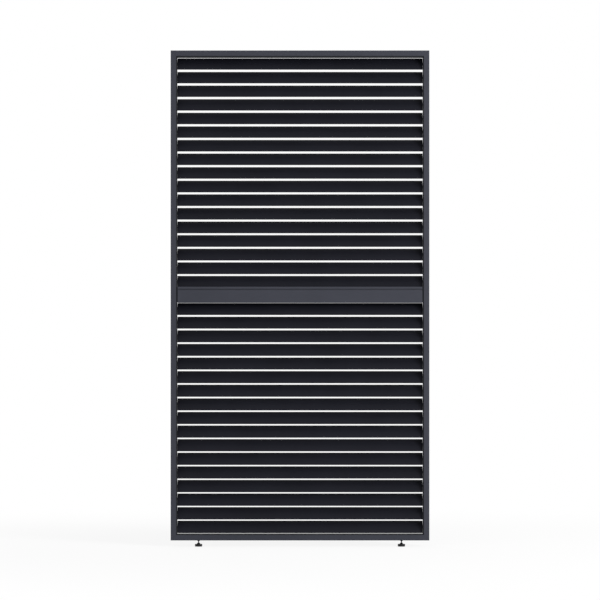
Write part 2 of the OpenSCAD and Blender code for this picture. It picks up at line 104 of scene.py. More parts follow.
class Sheet:
    """A node tree with short ways to add its nodes and wires."""

    def __init__(self, tree: bpy.types.NodeTree) -> None:
        """Takes the tree to draw in and empties it."""
        self.tree = tree
        self.tree.nodes.clear()

    def add(self, kind: str, inputs: dict[str | int, object] | None = None,
            **settings: object) -> bpy.types.Node:
        """Adds a node.

        Args:
            kind: The node's type without its ShaderNode prefix.
            inputs: Values or source sockets by input name or number.
            **settings: The node's own properties.

        Returns:
            The new node.
        """
        full = kind if kind.startswith("Node") else f"ShaderNode{kind}"
        node = self.tree.nodes.new(full)
        for name, value in settings.items():
            setattr(node, name, value)
        for name, value in (inputs or {}).items():
            if isinstance(value, Socket):
                self.tree.links.new(value, node.inputs[name])
            else:
                node.inputs[name].default_value = value
        return node

    def math(self, operation: str, *values: object) -> Socket:
        """Adds a Math node.

        Args:
            operation: The node's operation, such as MULTIPLY.
            *values: Numbers or source sockets, in the order of its inputs.

        Returns:
            The node's output.
        """
        return self.add("Math", dict(enumerate(values)), operation=operation).outputs[0]

    def share(self, part: float, first: Socket, second: Socket) -> Socket:
        """Adds two values by their shares.

        Args:
            part: The first value's share, from 0 to 1.
            first: The value that has that share.
            second: The value that has the rest.

        Returns:
            The sum.
        """
        return self.math("MULTIPLY_ADD", first, part, self.math("MULTIPLY", second, 1.0 - part))

    def ramp(self, value: Socket, low: float, high: float, to_low: float = 0.0,
             to_high: float = 1.0) -> Socket:
        """Maps a value smoothly from one span to another.

        Args:
            value: The socket to map.
            low: The value that gives to_low.
            high: The value that gives to_high.
            to_low: The result at and below low.
            to_high: The result at and above high.

        Returns:
            The mapped value.
        """
        spans = {0: value, 1: low, 2: high, 3: to_low, 4: to_high}
        return self.add("MapRange", spans, interpolation_type="SMOOTHSTEP").outputs["Result"]

    def noise(self, place: Socket, scale: object, detail: float = 2.0,
              roughness: float = 0.5) -> Socket:
        """Adds a noise texture.

        Args:
            place: The coordinates that it reads.
            scale: How fine it is, as a number or a socket.
            detail: How many finer layers it has.
            roughness: How much the finer layers count.

        Returns:
            Its value, from 0 to 1.
        """
        return self.add("TexNoise", {"Vector": place, "Scale": scale, "Detail": detail,
                                     "Roughness": roughness}).outputs["Fac"]

    def blend(self, part: Socket, first: object, second: object) -> Socket:
        """Mixes two colours.

        Args:
            part: How much of the second colour counts.
            first: The colour or socket that stays at a part of 0.
            second: The colour or socket that is mixed in.

        Returns:
            The mixed colour.
        """
        first, second = (colour if isinstance(colour, Socket) else (*colour, 1.0)
                         for colour in (first, second))
        return self.add("Mix", {0: part, 6: first, 7: second}, data_type="RGBA").outputs[2]


class Effect:
    """A shader node group with named inputs and outputs, built once and shared by the finishes.

    Each one takes a Vector, the coordinates that it reads, and then its own values.
    """

    name = ""
    takes: dict[str, float] = {}
    gives: tuple[str, ...] = ()

    @classmethod
    def group(cls) -> bpy.types.NodeTree:
        """Returns the effect's node group, drawn at its first use."""
        known = bpy.data.node_groups.get(cls.name)
        if known:
            return known
        tree = bpy.data.node_groups.new(cls.name, "ShaderNodeTree")
        new_socket = tree.interface.new_socket
        new_socket("Vector", in_out="INPUT", socket_type="NodeSocketVector")
        for label, value in cls.takes.items():
            new_socket(label, in_out="INPUT", socket_type="NodeSocketFloat").default_value = value
        for label in cls.gives:
            new_socket(label, in_out="OUTPUT", socket_type="NodeSocketFloat")
        sheet = Sheet(tree)
        results = cls.draw(sheet, sheet.add("NodeGroupInput").outputs)
        sheet.add("NodeGroupOutput", dict(zip(cls.gives, results)))
        return tree

    @classmethod
    def draw(cls, sheet: Sheet, source: Outputs) -> Sequence[Socket]:
        """Draws the group's inside; each effect has its own.

        Args:
            sheet: The group's tree.
            source: The group's input sockets.

        Returns:
            The outputs, in the order of gives.
        """
        raise NotImplementedError

    @classmethod
    def place(cls, sheet: Sheet, place: Socket,
              values: dict[str, float] | None = None) -> Outputs:
        """Puts the effect into a material.

        Args:
            sheet: The material's tree.
            place: The coordinates that it reads.
            values: Its own values by input name.

        Returns:
            The effect's outputs in that material.
        """
        inputs = {"Vector": place, **(values or {})}
        return sheet.add("Group", inputs, node_tree=cls.group()).outputs


class OrangePeel(Effect):
    """The fine pebbled skin of a stoved powder coat, with its slow drift in tone and gloss."""

    name = "orange_peel"
    takes = {"Pebble Scale": 1500, "Drift Scale": 5}
    gives = ("Height", "Tone", "Gloss")
    flecks_per_pebble = 1.7
    clouds_per_drift = 9.0
    fleck_height = 0.35
    slow_in_tone = 0.6
    slow_in_gloss = 0.5

    @classmethod
    def draw(cls, sheet: Sheet, source: Outputs) -> Sequence[Socket]:
        """Draws pebbles with fine flecks on them, a slow drift and smaller clouds."""
        place = source["Vector"]
        pebble = sheet.noise(place, source["Pebble Scale"], roughness=0.55)
        fleck_scale = sheet.math("MULTIPLY", source["Pebble Scale"], cls.flecks_per_pebble)
        fleck = sheet.add("TexVoronoi", {"Vector": place, "Scale": fleck_scale})
        drift = sheet.noise(place, source["Drift Scale"], 3.0)
        cloud_scale = sheet.math("MULTIPLY", source["Drift Scale"], cls.clouds_per_drift)
        cloud = sheet.noise(place, cloud_scale)
        dots = sheet.ramp(fleck.outputs["Distance"], 0.05, 0.45, 1.0, 0.0)
        height = sheet.math("MULTIPLY_ADD", dots, cls.fleck_height, pebble)
        slow = sheet.ramp(drift, 0.3, 0.7)
        tone = sheet.share(cls.slow_in_tone, slow, sheet.ramp(height, 0.35, 0.95))
        gloss = sheet.share(cls.slow_in_gloss, slow, cloud)
        return height, tone, gloss


class EdgeWear(Effect):
    """Where a coat thins over an edge: 1 on the edge and 0 on flat faces, broken up a little.

    The rounded and the true normal agree by 1 on a flat face, and by less the nearer an edge is.
    """

    name = "edge_wear"
    takes = {"Reach": 0.001, "Breaks": 0.4}
    gives = ("Edge",)
    flat = 0.985
    bent = 0.80

    @classmethod
    def draw(cls, sheet: Sheet, source: Outputs) -> Sequence[Socket]:
        """Compares the rounded normal with the true one and roughens the result with noise."""
        rounded = sheet.add("Bevel", {"Radius": source["Reach"]}, samples=4).outputs["Normal"]
        plain = sheet.add("NewGeometry").outputs["Normal"]
        facing = sheet.add("VectorMath", {0: rounded, 1: plain},
                           operation="DOT_PRODUCT").outputs["Value"]
        edge = sheet.ramp(facing, cls.flat, cls.bent)
        broken = sheet.ramp(sheet.noise(source["Vector"], 180.0, 3.0), 0.35, 0.6)
        kept = sheet.math("SUBTRACT", 1.0, source["Breaks"])
        share = sheet.math("MULTIPLY_ADD", source["Breaks"], broken, kept)
        return (sheet.math("MULTIPLY", edge, share),)


class DieLines(Effect):
    """The faint long lines that a die or a brush leaves along a bar."""

    name = "die_lines"
    takes = {"Lines": 900}
    gives = ("Line",)
    stretch = (0.004, 1.0, 1.0)
    wide_scale = 0.2
    fine_share = 0.6

    @classmethod
    def draw(cls, sheet: Sheet, source: Outputs) -> Sequence[Socket]:
        """Stretches noise of two widths along X."""
        long_way = sheet.add("VectorMath", {0: source["Vector"], 1: cls.stretch},
                             operation="MULTIPLY").outputs["Vector"]
        fine = sheet.noise(long_way, source["Lines"])
        wide = sheet.noise(long_way, sheet.math("MULTIPLY", source["Lines"], cls.wide_scale))
        return (sheet.ramp(sheet.share(cls.fine_share, fine, wide), 0.35, 0.65),)


class SettledDust(Effect):
    """A thin film on what faces up, thicker in patches."""

    name = "settled_dust"
    gives = ("Dust",)

    @classmethod
    def draw(cls, sheet: Sheet, source: Outputs) -> Sequence[Socket]:
        """Takes the upward share of the normal and breaks it up with noise."""
        normal = sheet.add("NewGeometry").outputs["Normal"]
        upward = sheet.add("SeparateXYZ", {0: normal}).outputs["Z"]
        patches = sheet.ramp(sheet.noise(source["Vector"], 60.0, 6.0, 0.65), 0.3, 0.75, 0.25)
        return (sheet.math("MULTIPLY", sheet.ramp(upward, 0.55, 1.0), patches),)


class MitreSeam(Effect):
    """The hairline where the mitred ends of the stiles and the rails meet: 1 in the seam."""

    name = "mitre_seam"
    takes = {"Half Width": 0.6, "Middle": 1.1635, "Half Height": 1.1365, "Face": 0.025}
    gives = ("Seam",)
    dark_half = 0.00012
    fade_half = 0.00038
    past_corner = 1.02

    @classmethod
    def draw(cls, sheet: Sheet, source: Outputs) -> Sequence[Socket]:
        """Measures how far a point lies from the four diagonals through the frame's corners."""
        at = sheet.add("SeparateXYZ", {0: source["Vector"]}).outputs
        across = sheet.math("SUBTRACT", sheet.math("ABSOLUTE", at["X"]), source["Half Width"])
        height = sheet.math("ABSOLUTE", sheet.math("SUBTRACT", at["Z"], source["Middle"]))
        up = sheet.math("SUBTRACT", height, source["Half Height"])
        apart = sheet.math("ABSOLUTE", sheet.math("SUBTRACT", across, up))
        line = sheet.ramp(apart, cls.dark_half, cls.fade_half, 1.0, 0.0)
        near = sheet.math("MULTIPLY", source["Face"], -cls.past_corner)
        corner = sheet.math("GREATER_THAN", across, near)
        return (sheet.math("MULTIPLY", line, corner),)


# --- Finishes ---


@dataclass(frozen=True)
class Finish:
    """What every finish shares: its name, its slot in the record and its Principled shader.

    The colour drifts towards light_tone, and relief is the texture's height in metres.
    """

    name: str
    slot: Slot
    colour: Colour
    roughness: float
    specular: float
    light_tone: Colour
    relief: float

    def material(self) -> bpy.types.Material:
        """Returns the finish as a material, drawn at its first use."""
        known = bpy.data.materials.get(self.name)
        if known:
            return known
        made = bpy.data.materials.new(self.name)
        made.use_nodes = True
        made.diffuse_color = (*self.colour, 1.0)
        sheet = Sheet(made.node_tree)
        place = sheet.add("TexCoord").outputs["Object"]
        shader = sheet.add("BsdfPrincipled", {"Specular IOR Level": self.specular})
        self.dress(sheet, shader, place)
        sheet.add("OutputMaterial", {"Surface": shader.outputs["BSDF"]})
        return made

    def dress(self, sheet: Sheet, shader: bpy.types.Node, place: Socket) -> None:
        """Wires the finish's detail to the shader; each kind of finish has its own.

        Args:
            sheet: The material's tree.
            shader: Its Principled node.
            place: The object coordinates.
        """
        raise NotImplementedError

    def join(self, sheet: Sheet, shader: bpy.types.Node, colour: Socket, roughness: Socket,
             height: Socket) -> None:
        """Connects colour, roughness and relief to the shader.

        Args:
            sheet: The material's tree.
            shader: Its Principled node.
            colour: The colour over the surface.
            roughness: The roughness over the surface.
            height: The relief over the surface, from 0 to about 1.
        """
        bump = sheet.add("Bump", {"Height": height, "Distance": self.relief})
        wires = (("Base Color", colour), ("Roughness", roughness),
                 ("Normal", bump.outputs["Normal"]))
        for socket, value in wires:
            sheet.tree.links.new(value, shader.inputs[socket])


@dataclass(frozen=True)
class PowderCoat(Finish):
    """A stoved powder coat on extruded aluminium."""

    edge_tone: Colour
    pebble_scale: float
    gloss_drift: float
    edge_reach: float
    edge_share: float
    dust_share: float
    dust: Colour = (0.30, 0.29, 0.28)
    dust_dulling: float = 0.3
    lines: float = 500.0
    line_height: float = 0.15
    seam: Colour = (0.008, 0.008, 0.010)
    seam_share: float = 0.0

    def dress(self, sheet: Sheet, shader: bpy.types.Node, place: Socket) -> None:
        """Wires pebbles, drift, die lines, thin edges and dust, as Finish.dress says."""
        peel = OrangePeel.place(sheet, place, {"Pebble Scale": self.pebble_scale})
        line = DieLines.place(sheet, place, {"Lines": self.lines})["Line"]
        edge = EdgeWear.place(sheet, place, {"Reach": self.edge_reach})["Edge"]
        dust = SettledDust.place(sheet, place)["Dust"]
        toned = sheet.blend(peel["Tone"], self.colour, self.light_tone)
        worn = sheet.blend(sheet.math("MULTIPLY", edge, self.edge_share), toned, self.edge_tone)
        dusty = sheet.math("MULTIPLY", dust, self.dust_share)
        colour = sheet.blend(dusty, worn, self.dust)
        if self.seam_share:
            colour = self.seamed(sheet, place, colour)
        clean = sheet.math("MULTIPLY_ADD", peel["Gloss"], self.gloss_drift, self.roughness)
        roughness = sheet.math("MULTIPLY_ADD", dusty, self.dust_dulling, clean)
        height = sheet.math("MULTIPLY_ADD", line, self.line_height, peel["Height"])
        self.join(sheet, shader, colour, roughness, height)

    def seamed(self, sheet: Sheet, place: Socket, colour: Socket) -> Socket:
        """Draws the hairline seams of the frame's mitred corners over the colour.

        Args:
            sheet: The material's tree.
            place: The object coordinates.
            colour: The coat's colour.

        Returns:
            The colour with the seams.
        """
        low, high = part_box("right_stile")
        seam = MitreSeam.place(sheet, place, {
            "Half Width": high.x, "Middle": (low.z + high.z) / 2,
            "Half Height": (high.z - low.z) / 2, "Face": high.x - low.x})["Seam"]
        return sheet.blend(sheet.math("MULTIPLY", seam, self.seam_share), colour, self.seam)


@dataclass(frozen=True)
class MouldedPlastic(Finish):
    """Injection-moulded nylon with a fine eroded skin."""

    skin_scale: float
    drift_scale: float = 40.0
    flow_scale: float = 25.0
    flow_share: float = 0.25
    gloss_drift: float = 0.12
    edge_reach: float = 0.0006
    edge_share: float = 0.35
    edge_lift: float = 2.4
    edge_polish: float = 0.2

    def dress(self, sheet: Sheet, shader: bpy.types.Node, place: Socket) -> None:
        """Wires the skin, the flow marks and rubbed edges, as Finish.dress says."""
        skin = OrangePeel.place(sheet, place, {"Pebble Scale": self.skin_scale,
                                               "Drift Scale": self.drift_scale})
        edge = EdgeWear.place(sheet, place, {"Reach": self.edge_reach})["Edge"]
        flow = sheet.add("TexWave", {"Vector": place, "Scale": self.flow_scale, "Distortion": 9.0},
                         bands_direction="DIAGONAL").outputs["Fac"]
        shade = sheet.share(self.flow_share, flow, skin["Tone"])
        toned = sheet.blend(shade, self.colour, self.light_tone)
        rubbed = sheet.math("MULTIPLY", edge, self.edge_share)
        pale = tuple(self.edge_lift * c for c in self.light_tone)
        colour = sheet.blend(rubbed, toned, pale)
        dull = sheet.math("MULTIPLY_ADD", skin["Gloss"], self.gloss_drift, self.roughness)
        roughness = sheet.math("MULTIPLY_ADD", rubbed, -self.edge_polish, dull)
        self.join(sheet, shader, colour, roughness, skin["Height"])


@dataclass(frozen=True)
class BareMetal(Finish):
    """Metal without paint: mill-finish aluminium or plated steel."""

    cloud: Colour
    cloud_scale: float
    lines: float
    rubbed: Colour = (0.80, 0.80, 0.80)
    cloud_share: float = 0.55
    cloud_dulling: float = 0.14
    line_dulling: float = 0.08
    edge_reach: float = 0.0005
    edge_breaks: float = 0.2
    edge_share: float = 0.5

    def dress(self, sheet: Sheet, shader: bpy.types.Node, place: Socket) -> None:
        """Wires lines, clouds and bright edges, as Finish.dress says."""
        shader.inputs["Metallic"].default_value = 1.0
        line = DieLines.place(sheet, place, {"Lines": self.lines})["Line"]
        edge = EdgeWear.place(sheet, place, {"Reach": self.edge_reach,
                                             "Breaks": self.edge_breaks})["Edge"]
        clouds = sheet.ramp(sheet.noise(place, self.cloud_scale, 4.0, 0.6), 0.35, 0.7)
        toned = sheet.blend(line, self.colour, self.light_tone)
        bloom = sheet.blend(sheet.math("MULTIPLY", clouds, self.cloud_share), toned, self.cloud)
        colour = sheet.blend(sheet.math("MULTIPLY", edge, self.edge_share), bloom, self.rubbed)
        drawn = sheet.math("MULTIPLY_ADD", line, self.line_dulling, self.roughness)
        roughness = sheet.math("MULTIPLY_ADD", clouds, self.cloud_dulling, drawn)
        self.join(sheet, shader, colour, roughness, line)


FINISHES: dict[Slot, Finish] = {finish.slot: finish for finish in (
    PowderCoat("frame_powder_coat", Slot.FRAME, (0.043, 0.0455, 0.059), 0.52, 0.15,
               light_tone=(0.051, 0.0535, 0.069), edge_tone=(0.095, 0.098, 0.112),
               pebble_scale=1500.0, relief=0.00003, gloss_drift=0.1, edge_reach=0.0009,
               edge_share=0.45, dust_share=0.05, seam_share=0.85),
    PowderCoat("lining_powder_coat", Slot.LINING, (0.018, 0.019, 0.023), 0.70, 0.15,
               light_tone=(0.024, 0.025, 0.030), edge_tone=(0.050, 0.052, 0.060),
               pebble_scale=1700.0, relief=0.00003, gloss_drift=0.1, edge_reach=0.0008,
               edge_share=0.35, dust_share=0.04),
    PowderCoat("slat_satin_coat", Slot.SLAT, (0.0085, 0.0089, 0.0135), 0.46, 0.10,
               light_tone=(0.0115, 0.0120, 0.0180), edge_tone=(0.026, 0.027, 0.035),
               pebble_scale=2200.0, relief=0.00002, gloss_drift=0.12, edge_reach=0.0006,
               edge_share=0.30, dust_share=0.02),
    MouldedPlastic("moulded_black_nylon", Slot.PLASTIC, (0.009, 0.009, 0.010), 0.30, 0.25,
                   light_tone=(0.015, 0.015, 0.016), skin_scale=2600.0, relief=0.00002),
    BareMetal("zinc_plated_steel", Slot.ZINC, (0.40, 0.41, 0.43), 0.32, 0.5,
              light_tone=(0.48, 0.49, 0.51), cloud=(0.44, 0.43, 0.39), cloud_scale=260.0,
              relief=0.000006, lines=2400.0, rubbed=(0.62, 0.62, 0.63)),
    BareMetal("black_plated_steel", Slot.DARK_STEEL, (0.085, 0.085, 0.095), 0.34, 0.5,
              light_tone=(0.120, 0.120, 0.130), cloud=(0.100, 0.098, 0.095), cloud_scale=260.0,
              relief=0.000006, lines=2400.0, rubbed=(0.30, 0.30, 0.31)),
    BareMetal("mill_aluminium", Slot.MILL, (0.56, 0.57, 0.59), 0.34, 0.5,
              light_tone=(0.68, 0.69, 0.71), cloud=(0.60, 0.60, 0.60), cloud_scale=90.0,
              relief=0.00001, lines=1600.0),
)}


# --- Modelling ---


def only(kind: type, geometry: Iterable[object]) -> list:
    """Picks the elements of one kind out of an operator's result."""
    return [element for element in geometry if isinstance(element, kind)]


def put(name: str, data: bpy.types.ID) -> bpy.types.Object:
    """Makes an object of its data and puts it into the scene."""
    made = bpy.data.objects.new(name, data)
    bpy.context.scene.collection.objects.link(made)
    return made


class Shape:
    """A mesh in the making, with the shaping steps that the pieces share."""

    SHARP = math.radians(32)
    WELD = 1e-6

    def __init__(self) -> None:
        """Starts with an empty mesh."""
        self.bm = bmesh.new()

    def vert(self, point: Sequence[float]) -> Vert:
        """Adds one vertex."""
        return self.bm.verts.new(point)

    def line(self, points: Iterable[Sequence[float]], start: Vert | None = None) -> list[Vert]:
        """Draws straight edges from point to point.

        Args:
            points: Where the line goes.
            start: A vertex that the line goes on from.

        Returns:
            The line's vertices, with the start first.
        """
        verts = [start] if start else []
        for point in points:
            verts.append(self.vert(point))
            if len(verts) > 1:
                self.bm.edges.new(verts[-2:])
        return verts

    def arc(self, start: Vert, centre: Vector, axis: Vector, angle: float, steps: int) -> Vert:
        """Draws an arc by spinning a vertex.

        Args:
            start: Where the arc starts.
            centre: The arc's centre.
            axis: The direction that it turns about.
            angle: How far it turns, in radians.
            steps: How many edges it has.

        Returns:
            The arc's last vertex.
        """
        spun = bmesh.ops.spin(self.bm, geom=[start], cent=centre, axis=axis, dvec=ORIGIN,
                              angle=angle, steps=steps, use_merge=False)
        return only(Vert, spun["geom_last"])[0]

    def weld(self) -> None:
        """Merges vertices that lie on each other."""
        bmesh.ops.remove_doubles(self.bm, verts=self.bm.verts[:], dist=self.WELD)

    def face_out(self) -> None:
        """Turns every face outwards."""
        bmesh.ops.recalc_face_normals(self.bm, faces=self.bm.faces[:])

    def ease(self, verts: Iterable[Vert], radius: float, steps: int = 2) -> None:
        """Rounds corners of a wire outline.

        Args:
            verts: The corners.
            radius: How far the rounding reaches along each edge.
            steps: How many edges it gets.
        """
        bmesh.ops.bevel(self.bm, geom=list(verts), offset=radius, offset_type="OFFSET",
                        segments=steps, profile=0.5, affect="VERTICES", material=-1)

    def lathe(self, steps: int) -> None:
        """Spins the wire outline, drawn in X and Z, round the Z axis into a closed solid."""
        wire = self.bm.verts[:] + self.bm.edges[:]
        bmesh.ops.spin(self.bm, geom=wire, cent=ORIGIN, axis=Z_AXIS, dvec=ORIGIN,
                       angle=FULL_TURN, steps=steps, use_merge=True)
        self.weld()
        self.face_out()

    def draw_out(self, start: float, length: float, rim: float) -> None:
        """Fills the closed wire outline, drawn in Y and Z, and draws it out along X.

        Args:
            start: The X where it starts.
            length: How far it is drawn out.
            rim: The chamfer of its two rims.
        """
        self.weld()
        filled = bmesh.ops.contextual_create(self.bm, geom=self.bm.edges[:])["faces"]
        drawn = bmesh.ops.extrude_face_region(self.bm, geom=filled)["geom"]
        bmesh.ops.translate(self.bm, verts=only(Vert, drawn), vec=X_AXIS * length)
        self.face_out()
        rims = [e for e in self.bm.edges if abs(e.verts[0].co.x - e.verts[1].co.x) < self.WELD]
        self.chamfer(rims, rim)
        bmesh.ops.translate(self.bm, verts=self.bm.verts[:], vec=X_AXIS * start)

    def chamfer(self, edges: list[Edge], width: float) -> None:
        """Cuts a chamfer along edges of the solid."""
        bmesh.ops.bevel(self.bm, geom=edges, offset=width, offset_type="OFFSET", segments=1,
                        profile=0.5, affect="EDGES", material=-1)

    def place(self, matrix: Matrix) -> "Shape":
        """Moves or turns the whole mesh, without mirroring it, and returns it."""
        bmesh.ops.transform(self.bm, matrix=matrix, verts=self.bm.verts[:])
        return self

    def take(self, other: "Shape", matrix: Matrix | None = None) -> None:
        """Adds a copy of another mesh.

        Args:
            other: The mesh to copy.
            matrix: Where the copy goes; a mirrored copy keeps its faces outwards.
        """
        copy = bpy.data.meshes.new("copy")
        other.bm.to_mesh(copy)
        if matrix:
            copy.transform(matrix)
            if matrix.determinant() < 0:
                copy.flip_normals()
        self.bm.from_mesh(copy)
        bpy.data.meshes.remove(copy)

    def piece(self, name: str, slot: Slot, body: str,
              matrix: Matrix | None = None) -> bpy.types.Object:
        """Makes the mesh a finished piece that rides on a body.

        Args:
            name: The piece's name.
            slot: Its finish.
            body: The body that it rides on.
            matrix: Its place, which goes into the mesh.

        Returns:
            The piece.
        """
        for edge in self.bm.edges:
            edge.smooth = edge.calc_face_angle(0.0) < self.SHARP
        for face in self.bm.faces:
            face.smooth = True
        mesh = bpy.data.meshes.new(name)
        self.bm.to_mesh(mesh)
        if matrix:
            mesh.transform(matrix)
        mesh.materials.append(FINISHES[slot].material())
        made = put(name, mesh)
        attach(made, body)
        log.info("made %s on %s: %d faces", name, body, len(mesh.polygons))
        return made


def turned(point: Vector, along: Vector) -> Matrix:
    """Gives the place of something drawn round +Z.

    Args:
        point: Where its origin goes.
        along: Where its +Z then points.

    Returns:
        The matrix that puts it there.
    """
    return Matrix.Translation(point) @ Z_AXIS.rotation_difference(along).to_matrix().to_4x4()


# --- Slats ---


@dataclass
class Slat:
    """One turning slat: its curved blade, its two capped ends with pins, and its crank."""

    pitch: float
    overlap: float = 0.0047
    tilt: float = math.radians(36)
    crank_turn: float = math.radians(46.75)
    half_thickness: float = 0.0055
    edge_r: float = 0.0015
    face_steps: int = 18
    edge_steps: int = 12
    blade_half: float = 0.56775
    rim: float = 0.00025
    cap_gap: float = 0.00005
    cap_t: float = 0.002
    hub_r: float = 0.0065
    hub_l: float = 0.0009
    pin_r: float = 0.004
    pin_end: float = 0.5758
    pin_steps: int = 40
    drive_side: float = 0.005557
    running_gap: float = 0.0003
    bar_t: float = 0.003
    crank_r: float = 0.015
    eye_r: float = 0.0065
    eye_steps: int = 20
    tip_r: float = 0.0045
    tip_steps: int = 14
    rivet_r: float = 0.0025
    rivet_rim: float = 0.0005
    rivet_steps: int = 24
    washer_t: float = 0.0008
    washer_ring: float = 0.002
    washer_rim: float = 0.0002
    washer_steps: int = 28
    small_rim: float = 0.0003

    def __post_init__(self) -> None:
        """Works out where each piece starts and ends along X, from the blade outwards."""
        self.cap_in = self.blade_half + self.cap_gap
        self.cap_out = self.cap_in + self.cap_t
        self.hub_end = self.cap_out + self.hub_l
        self.crank_in = self.pin_end + self.running_gap
        self.crank_out = self.crank_in + self.bar_t
        self.washer_in = self.crank_out + self.bar_t + 2 * self.running_gap
        self.rivet_end = self.washer_in + 2 * self.washer_t

    def at_rest(self, height: float) -> Matrix:
        """Gives the place at rest of the upright slat, which is drawn round the X axis."""
        return Matrix.Translation((0, 0, height)) @ Matrix.Rotation(-self.tilt, 4, "X")

    def outline(self) -> Shape:
        """Draws the closed outline in Y and Z: two curved faces that run into round edges."""
        shape = Shape()
        edge_at = (self.pitch + self.overlap) / 2 - self.edge_r
        rise = self.half_thickness - self.edge_r
        face_r = (edge_at ** 2 + self.half_thickness ** 2 - self.edge_r ** 2) / (2 * rise)
        half = math.asin(edge_at / (face_r - self.edge_r))
        middle = Y_AXIS * (self.half_thickness - face_r)
        low = middle + face_r * Vector((0, math.cos(half), -math.sin(half)))
        for turn in (0.0, math.pi):
            spin = Matrix.Rotation(turn, 4, "X")
            start = shape.vert(spin @ low)
            top = shape.arc(start, spin @ middle, X_AXIS, 2 * half, self.face_steps)
            shape.arc(top, spin @ (Z_AXIS * edge_at), X_AXIS, math.pi - 2 * half, self.edge_steps)
        shape.weld()
        return shape

    def blade(self) -> Shape:
        """Draws the blade out between its caps."""
        shape = self.outline()
        shape.draw_out(-self.blade_half, 2 * self.blade_half, self.rim)
        return shape

    def end(self) -> Shape:
        """Builds the right end: the cap, its hub and the pivot pin."""
        shape = self.outline()
        shape.draw_out(self.cap_in, self.cap_t, self.rim)
        root = (self.cap_in + self.cap_out) / 2
        pin = Shape()
        verts = pin.line([(0, 0, root), (self.hub_r, 0, root), (self.hub_r, 0, self.hub_end),
                          (self.pin_r, 0, self.hub_end), (self.pin_r, 0, self.pin_end),
                          (0, 0, self.pin_end)])
        pin.ease([verts[2], verts[4]], self.small_rim)
        pin.lathe(self.pin_steps)
        shape.take(pin, turned(ORIGIN, X_AXIS))
        return shape

    def drive(self) -> Shape:
        """Builds the square end of the right pin, which turns the crank."""
        shape = Shape()
        length = self.crank_out - self.pin_end + self.pin_r
        size = Matrix.Diagonal((length, self.drive_side, self.drive_side, 1))
        bmesh.ops.create_cube(shape.bm, size=1.0, matrix=size)
        shape.chamfer(shape.bm.edges[:], self.small_rim)
        return shape.place(Matrix.Translation((self.crank_out - length / 2, 0, 0)))

    def crank(self) -> Shape:
        """Builds the crank arm, its riveted pin and the washer that holds the tie bar."""
        shape = Shape()
        lean = math.asin((self.eye_r - self.tip_r) / self.crank_r)
        top = shape.vert((0, self.eye_r * math.sin(lean), self.eye_r * math.cos(lean)))
        shape.arc(top, ORIGIN, X_AXIS, math.pi + 2 * lean, self.eye_steps)
        tip = Vector((0, self.crank_r, 0))
        low = shape.vert(tip + Vector((0, self.tip_r * math.sin(lean),
                                       -self.tip_r * math.cos(lean))))
        last = shape.arc(low, tip, X_AXIS, math.pi - 2 * lean, self.tip_steps)
        shape.bm.edges.new((last, top))
        shape.weld()
        ends = [v for v in shape.bm.verts if len(v.link_edges) == 1]
        shape.bm.edges.new(ends)
        shape.draw_out(self.crank_in, self.bar_t, self.small_rim)
        pin = Shape()
        root = self.crank_in + self.bar_t / 2
        verts = pin.line([(0, 0, root), (self.rivet_r, 0, root),
                          (self.rivet_r, 0, self.rivet_end), (0, 0, self.rivet_end)])
        pin.ease([verts[2]], self.rivet_rim)
        pin.lathe(self.rivet_steps)
        shape.take(pin, turned(tip, X_AXIS))
        washer = Shape()
        bore, rim = self.rivet_r, self.rivet_r + self.washer_ring
        low, high = self.washer_in, self.washer_in + self.washer_t
        ring = washer.line([(bore, 0, low), (rim, 0, low), (rim, 0, high), (bore, 0, high)])
        washer.bm.edges.new((ring[-1], ring[0]))
        washer.ease(ring[1:3], self.washer_rim)
        washer.lathe(self.washer_steps)
        shape.take(washer, turned(tip, X_AXIS))
        return shape.place(Matrix.Rotation(self.crank_turn, 4, "X"))


@dataclass
class SlatBanks:
    """Both banks of slats, each shape built once and copied to every axis."""

    node_mark: str = "_slat_"

    def heights(self) -> dict[str, float]:
        """Reads each slat's axis height from its own turning joint."""
        return {joint["child"]: joint["pos_m"][2]
                for joint in sorted(frame["joints"], key=lambda joint: joint["child"])
                if self.node_mark in joint["child"]}

    def build(self) -> None:
        """Builds every slat as a blade, its two ends and its crank."""
        heights = self.heights()
        low, high = sorted(heights.values())[:2]
        pattern = Slat(high - low)
        blade, crank, ends = pattern.blade(), pattern.crank(), Shape()
        for side in Side:
            ends.take(pattern.end(), Matrix.Diagonal((side.value, 1, 1, 1)))
        ends.take(pattern.drive())
        for node, height in heights.items():
            at_rest = pattern.at_rest(height)
            parts = (("blade", blade, Slot.SLAT), ("ends", ends, Slot.PLASTIC),
                     ("crank", crank, Slot.ZINC))
            for word, shape, slot in parts:
                made = shape.piece(f"{node}_{word}", slot, node, at_rest)
                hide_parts(node)


# --- Fastenings ---


